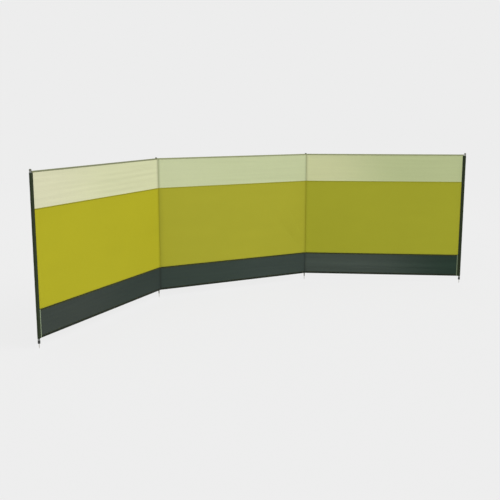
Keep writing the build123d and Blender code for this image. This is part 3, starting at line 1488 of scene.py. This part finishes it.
@dataclass
class MiddleSleeve(Sleeve):
    """Sleeve behind the cloth, whose lips meet in a web that ends in the rolled fold seam."""

    lip_end: float = 0.0225
    lip_half_width: float = 0.00065
    stitch_columns: tuple[float, ...] = (0.0160,)
    slack: float = 0.00045
    roll_finishes: dict[PanelKind, WovenCloth] = field(default_factory=dict)
    setback: float = 0.024
    seam_radius: float = 0.0025
    seam_corners: int = 14
    seam_wave: float = 0.00005

    def model(self) -> None:
        """Model the sleeve and, for each width of cloth, its length of the rolled seam."""
        super().model()
        for kind, finish in self.roll_finishes.items():
            self.keep(f"{kind.value}_roll", self.model_roll(kind, finish), SLOTS[kind.value])

    def model_roll(self, kind: PanelKind, finish: WovenCloth) -> Workpiece:
        """Model the rolled seam that two bays fold about, beside one width of cloth.

        Args:
            kind: which width.
            finish: the roll's finish.

        Returns:
            The roll.
        """
        low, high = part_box(f"centre_bay_{kind.value}")
        top = min(high.z, self.high)
        roll = Workpiece.start(
            "fold_seam_roll",
            bpy.ops.mesh.primitive_cylinder_add,
            vertices=self.seam_corners,
            radius=self.seam_radius,
            depth=top - low.z,
            location=Vector((self.setback, 0, (low.z + top) / 2)),
        )
        roll.cut_into_lengths(Axis.UP, round((top - low.z) / self.ring_pitch))
        points = roll.points()
        points[:, 0] += self.seam_wave * np.sin(points[:, 2] * 211 + np.sin(points[:, 2] * 37))
        roll.set_points(points)
        roll.map_cloth(self.round_roll)
        roll.smooth(self.smooth_angle)
        roll.wear(finish.material())
        return roll

    def round_roll(self, points: np.ndarray) -> np.ndarray:
        """Where each point of the roll is on its cloth."""
        turned = np.arctan2(points[:, 1], points[:, 0] - self.setback)
        return np.stack([turned * self.seam_radius, points[:, 2]], axis=1)


@dataclass
class BindingBridge:
    """The length of top binding that crosses a fold, bent as the bays stand at rest."""

    name: str
    bodies: tuple[str, str]
    axis: Vector
    headings: tuple[float, float]
    finish: RibbedTape
    reach: float = 0.0068
    half_width: float = 0.00090
    inset: float = 0.00005
    bend_reach: float = 0.005
    lengths: int = 12

    def build(self) -> None:
        """Model the tape straight over the fold, and bend it as at rest."""
        low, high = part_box("centre_bay_binding")
        fold_z = high.z - SEWING.tape_thickness / 2 - self.inset
        tape = folded_tape(
            self.name,
            Vector((-self.reach, -self.half_width, fold_z)),
            Vector((self.reach, self.half_width, fold_z)),
            low.z + self.inset - fold_z,
            self.lengths,
        )
        points = tape.points()
        along, off = points[:, 0].copy(), points[:, 1].copy()
        before, after = self.headings
        angle = before + (after - before) * smooth_step(along / (2 * self.reach) + 0.5)
        points[:, 0] = self.axis.x + along * np.cos(angle) - off * np.sin(angle)
        points[:, 1] = self.axis.y + along * np.sin(angle) + off * np.cos(angle)
        tape.set_points(points)
        tape.smooth()
        tape.wear(self.finish.material())
        start = self.axis - Vector((math.cos(before), math.sin(before), 0)) * self.bend_reach
        end = self.axis + Vector((math.cos(after), math.sin(after), 0)) * self.bend_reach
        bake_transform(tape.obj)
        log.info("%s made", tape.obj.name)


# Floor, light and camera


@dataclass(frozen=True)
class Lamp:
    """A broad distant lamp: its angles are in degrees, and its heading is from +x."""

    name: str
    heading: float
    elevation: float
    strength: float
    spread: float
    distance: float = 8.0

    def build(self) -> None:
        """Make the lamp, pointing at the origin."""
        data = bpy.data.lights.new(self.name, "SUN")
        data.energy = self.strength
        data.angle = math.radians(self.spread)
        lamp = bpy.data.objects.new(self.name, data)
        bpy.context.scene.collection.objects.link(lamp)
        turn, rise = math.radians(self.heading), math.radians(self.elevation)
        level = math.cos(rise)
        towards = Vector((math.cos(turn) * level, math.sin(turn) * level, math.sin(rise)))
        lamp.location = towards * self.distance
        lamp.rotation_mode = "QUATERNION"
        lamp.rotation_quaternion = towards.to_track_quat("Z", "Y")


@dataclass(frozen=True)
class Studio:
    """Pale floor and backdrop, plain soft light, and the camera."""

    backdrop: Colour = (237, 237, 237)
    floor_level: float = -0.0385
    floor_size: float = 160.0
    floor_albedo: float = 0.55
    floor_own_share: float = 0.10
    floor_glow: Colour = (242, 242, 242)
    floor_fade: Span = (4.0, 12.0)
    sky_strength: float = 0.62
    lamps: tuple[Lamp, ...] = (
        Lamp("key_light", heading=322.0, elevation=42.0, strength=1.45, spread=35.0),
        Lamp("fill_light", heading=228.0, elevation=20.0, strength=0.55, spread=60.0),
    )
    camera_place: tuple[float, float, float] = (-1.8879, -5.773, 1.6229)
    camera_heading: float = 64.005
    camera_pitch: float = 9.129
    focal_pixels: float = 676.26
    principal_row: float = 222.53
    image_size: int = 500
    sensor_width: float = 36.0

    def build(self) -> None:
        """Make the stage, the lamps and the camera."""
        self.build_world()
        self.build_floor()
        for lamp in self.lamps:
            lamp.build()
        self.build_camera()
        bpy.context.scene.view_settings.view_transform = "Standard"

    def build_world(self) -> None:
        """Make white light all round, which the camera sees as the backdrop's grey."""
        world = bpy.data.worlds.new("studio")
        world.use_nodes = True
        bpy.context.scene.world = world
        graph = Graph(world.node_tree)
        graph.tree.nodes.clear()
        kinds = ((linear((255, 255, 255)), self.sky_strength), (linear(self.backdrop), 1.0))
        light, seen = (
            graph.out(graph.node("ShaderNodeBackground", {}, {"Color": c, "Strength": s}), 0)
            for c, s in kinds
        )
        either = graph.shader_mix(graph.seen_directly(), light, seen)
        graph.node("ShaderNodeOutputWorld", {}, {0: either})

    def build_floor(self) -> None:
        """Make a plain floor that keeps a faint shadow and runs out into the backdrop."""
        floor = Workpiece.start(
            "studio_floor",
            bpy.ops.mesh.primitive_plane_add,
            size=self.floor_size,
            location=(0, 0, self.floor_level),
        )
        graph = MaterialGraph("studio_floor")
        x, y, _ = graph.split(graph.place())
        far = graph.math("SQRT", x * x + y * y).step(*self.floor_fade)
        share = graph.seen_directly() * (1 - self.floor_own_share * (1 - far))
        grey = graph.mix(far, linear(self.floor_glow), linear(self.backdrop))
        glow = graph.node("ShaderNodeEmission", {}, {"Color": grey, "Strength": 1.0})
        either = graph.shader_mix(share, graph.out(graph.shader, 0), graph.out(glow, 0))
        graph.feed(graph.found("OUTPUT_MATERIAL").inputs["Surface"], either)
        albedo = (*[self.floor_albedo] * 3, 1.0)
        floor.wear(graph.finish(Base_Color=albedo, Roughness=0.9, Specular_IOR_Level=0.0))

    def build_camera(self) -> None:
        """Make the camera, where the photographer's stood."""
        data = bpy.data.cameras.new("camera")
        data.sensor_width = self.sensor_width
        data.lens = self.focal_pixels / self.image_size * self.sensor_width
        data.shift_y = (self.principal_row - self.image_size / 2) / self.image_size
        camera = bpy.data.objects.new("camera", data)
        bpy.context.scene.collection.objects.link(camera)
        camera.location = self.camera_place
        pitch, turn = 90 - self.camera_pitch, self.camera_heading - 90
        camera.rotation_euler = (math.radians(pitch), 0, math.radians(turn))
        bpy.context.scene.camera = camera


# The three bays' own designs. Their sheltered side is the one that the photograph shows.

# Painted light: besides their own uneven tone, the same cloths are given a little lighter or darker
# colours from bay to bay, for how brightly each bay is lit.
LEFT_DESIGN = BayDesign(
    side="left",
    poles=("left_end", "left_middle"),
    main=(181, 175, 32),
    strip=(222, 221, 187),
    skirt=(58, 66, 61),
    binding=(132, 136, 104),
    main_painted_shade=(PaintedEdgeShade(RIGHT_FOLD, 0.030, 0.12),),
    strip_painted_shade=(PaintedEdgeShade(RIGHT_FOLD, 0.030, 0.25),),
    skirt_painted_shade=(PaintedEdgeShade(RIGHT_FOLD, 0.030, 0.22),),
    strip_painted_falloff=PaintedLightFalloff(0.0, 0.9, (216, 218, 178)),
    skirt_painted_falloff=PaintedLightFalloff(0.4, 1.2, (48, 59, 54)),
    seed=11,
    strip_ripple=0.00070,
    skirt_ripple=0.00070,
    creases=(
        Crease((0.16, 1.081), (1.381, 1.087), 0.0011, 0.010),
        Crease((0.30, 1.120), (1.30, 1.115), -0.0008, 0.012),
        Crease((0.10, 1.045), (1.10, 1.035), 0.0007, 0.012),
        Crease((1.216, 1.184), (1.389, 1.141), 0.0008, 0.010),
        Crease((0.232, 0.170), (1.374, 0.168), 0.0011, 0.010),
    ),
    strip_painted_crease_shade=0.07,
    seam_shade_share=0.84,
    end_tape=(0.020, 0.0285),
)

CENTRE_DESIGN = BayDesign(
    side="centre",
    poles=("left_middle", "right_middle"),
    main=(174, 171, 48),
    strip=(205, 212, 170),
    skirt=(54, 66, 60),
    binding=(152, 158, 120),
    main_painted_shade=(
        PaintedEdgeShade(LEFT_FOLD, 0.018, 0.12),
        PaintedEdgeShade(LEFT_FOLD, 0.060, 0.10),
        PaintedEdgeShade(RIGHT_FOLD, 0.024, 0.14),
    ),
    strip_painted_shade=(PaintedEdgeShade(LEFT_FOLD, 0.020, 0.30), PaintedEdgeShade(RIGHT_FOLD, 0.020, 0.16)),
    skirt_painted_shade=(PaintedEdgeShade(LEFT_FOLD, 0.024, 0.22), PaintedEdgeShade(RIGHT_FOLD, 0.022, 0.22)),
    strip_painted_falloff=PaintedLightFalloff(0.1, 0.8, (202, 210, 166)),
    skirt_painted_falloff=PaintedLightFalloff(0.6, 1.1, (58, 69, 64)),
    seed=23,
    strip_ripple=0.00022,
    skirt_ripple=0.00035,
    creases=(
        Crease((0.911, 1.007), (1.516, 0.996), 0.0008, 0.010),
        Crease((1.072, 0.797), (1.502, 0.217), 0.0018, 0.045),
        Crease((1.270, 0.540), (1.500, 0.265), 0.0013, 0.015),
        Crease((1.340, 0.700), (1.510, 0.380), 0.0010, 0.014),
    ),
)

RIGHT_DESIGN = BayDesign(
    side="right",
    poles=("right_middle", "right_end"),
    main=(174, 174, 46),
    strip=(218, 222, 173),
    skirt=(69, 79, 73),
    binding=(154, 160, 120),
    main_painted_shade=(PaintedEdgeShade(LEFT_FOLD, 0.022, 0.12),),
    strip_painted_shade=(PaintedEdgeShade(LEFT_FOLD, 0.022, 0.22),),
    skirt_painted_shade=(
        PaintedEdgeShade(LEFT_FOLD, 0.022, 0.15),
        # Painted light: a lighter band along the middle of the right skirt.
        PaintedEdgeShade(0.145, 0.050, -0.14, level=True),
    ),
    strip_painted_falloff=PaintedLightFalloff(0.15, 0.95, (198, 208, 156)),
    skirt_painted_falloff=PaintedLightFalloff(0.5, 1.5, (39, 57, 47)),
    seed=37,
    strip_ripple=0.00028,
    skirt_ripple=0.00055,
    creases=(
        Crease((0.091, 0.991), (0.58, 0.997), 0.0008, 0.010),
        Crease((0.40, 1.208), (1.504, 1.200), 0.0012, 0.010),
        Crease((0.646, 0.158), (1.475, 0.150), 0.0024, 0.010),
        Crease((0.50, 0.112), (1.45, 0.100), 0.0020, 0.010),
    ),
    end_tape=(1.495, 1.505),
    end_tape_colour=(116, 130, 104),
)


@dataclass
class Windbreak:
    """The whole windbreak: three bays in zigzag, their sleeves and their poles."""

    left_heading: float = math.radians(37.0)
    right_heading: float = math.radians(-30.8)
    sleeve_colour: Colour = (43, 52, 33)
    sleeve_thread: Colour = (60, 66, 48)

    def bays(self) -> tuple[Bay, Bay, Bay]:
        """Lay out the bays.

        Returns:
            The three bays, from the left, not yet made.
        """
        left = Bay(LEFT_DESIGN, foot("left_end"), self.left_heading, POLE_END, FOLD_END)
        centre = Bay(CENTRE_DESIGN, fold_axis("left"), 0.0, SEWN_END, SEWN_END)
        right = Bay(RIGHT_DESIGN, fold_axis("right"), self.right_heading, FOLD_END, POLE_END)
        return left, centre, right

    def build_sleeves(self, needle: Needle) -> None:
        """Model an end sleeve and a middle sleeve, and copy each to its two poles.

        Args:
            needle: what sews them.
        """
        finish = WovenCloth(
            "sleeve_cloth", self.sleeve_colour, thread_pitch=0.0011, weave_depth=0.0001
        )
        # Painted shade: each roll is its width of cloth's colour painted darker, for the shade at
        # the fold seam.
        rolls = {
            PanelKind.SKIRT: WovenCloth("dark_fold_seam", (48, 56, 50)),
            PanelKind.MAIN_PANEL: WovenCloth("olive_fold_seam", (151, 145, 14)),
            PanelKind.TOP_STRIP: WovenCloth("pale_fold_seam", (169, 174, 130)),
        }
        low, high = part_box("left_middle_sleeve")
        shared = (low.z, high.z, finish, SpunThread("sleeve_thread", self.sleeve_thread), needle)
        end, middle = Sleeve(*shared), MiddleSleeve(*shared, roll_finishes=rolls)
        end.model()
        middle.model()
        end.stand("left_end", "left_bay", self.left_heading)
        end.stand("right_end", "right_bay", self.right_heading + math.pi)
        for side in ("left", "right"):
            lips = fold_axis(side) - foot(f"{side}_middle")
            middle.stand(f"{side}_middle", "centre_bay", math.atan2(lips.y, lips.x))
        end.put_away()
        middle.put_away()

    def build_bridges(self, centre: Bay, right: Bay) -> None:
        """Make the binding over each of the two folds.

        Args:
            centre: the centre bay, which starts at the left fold.
            right: the right bay, which starts at the right fold.
        """
        for side, bodies, bay, headings in (
            ("left", ("left_bay", "centre_bay"), centre, (self.left_heading, 0.0)),
            ("right", ("centre_bay", "right_bay"), right, (0.0, self.right_heading)),
        ):
            finish = bay.finishes["binding"]
            BindingBridge(f"{side}_binding_bridge", bodies, bay.place, headings, finish).build()

    def dress_poles(self) -> None:
        """Finish the poles: an end pole has a plastic boot, and a middle one a turned steel end.

        The poles' CAD pieces keep their shape.
        """
        ends, middles = ("left_end", "right_end"), ("left_middle", "right_middle")
        for poles, kinds, finish in (
            (ends + middles, ("lower", "upper"), DrawnSteel("pole_tube", (140, 141, 138))),
            (ends + middles, ("spike",), DrawnSteel("spike_steel", (196, 194, 186), 0.4)),
            (ends, ("cap",), MouldedPlastic("end_cap_plastic", (90, 92, 77), (134, 134, 118))),
            (middles, ("cap",), MouldedPlastic("middle_cap_plastic", (56, 59, 46), (88, 90, 76))),
            (ends, ("foot",), MouldedPlastic("foot_plastic", (40, 42, 38), (78, 80, 74))),
            (middles, ("foot",), DrawnSteel("foot_steel", (112, 108, 98), 0.45)),
        ):
            material = finish.material()
            for node in (f"{pole}_pole_{kind}" for pole in poles for kind in kinds):
                frame["nodes"][node].data.materials.clear()
                frame["nodes"][node].data.materials.append(material)
                log.info("%s put on %s", material.name, node)

    def build(self) -> None:
        """Make every piece."""
        needle = Needle()
        left, centre, right = self.bays()
        for bay in (left, centre, right):
            bay.build(needle)
        self.build_sleeves(needle)
        needle.put_away()
        self.build_bridges(centre, right)
        self.dress_poles()


def main() -> None:
    """Build the studio and the windbreak."""
    logging.basicConfig(level=logging.INFO, format="%(name)s: %(message)s")
    Studio().build()
    Windbreak().build()
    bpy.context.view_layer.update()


if __name__ == "__main__":
    main()
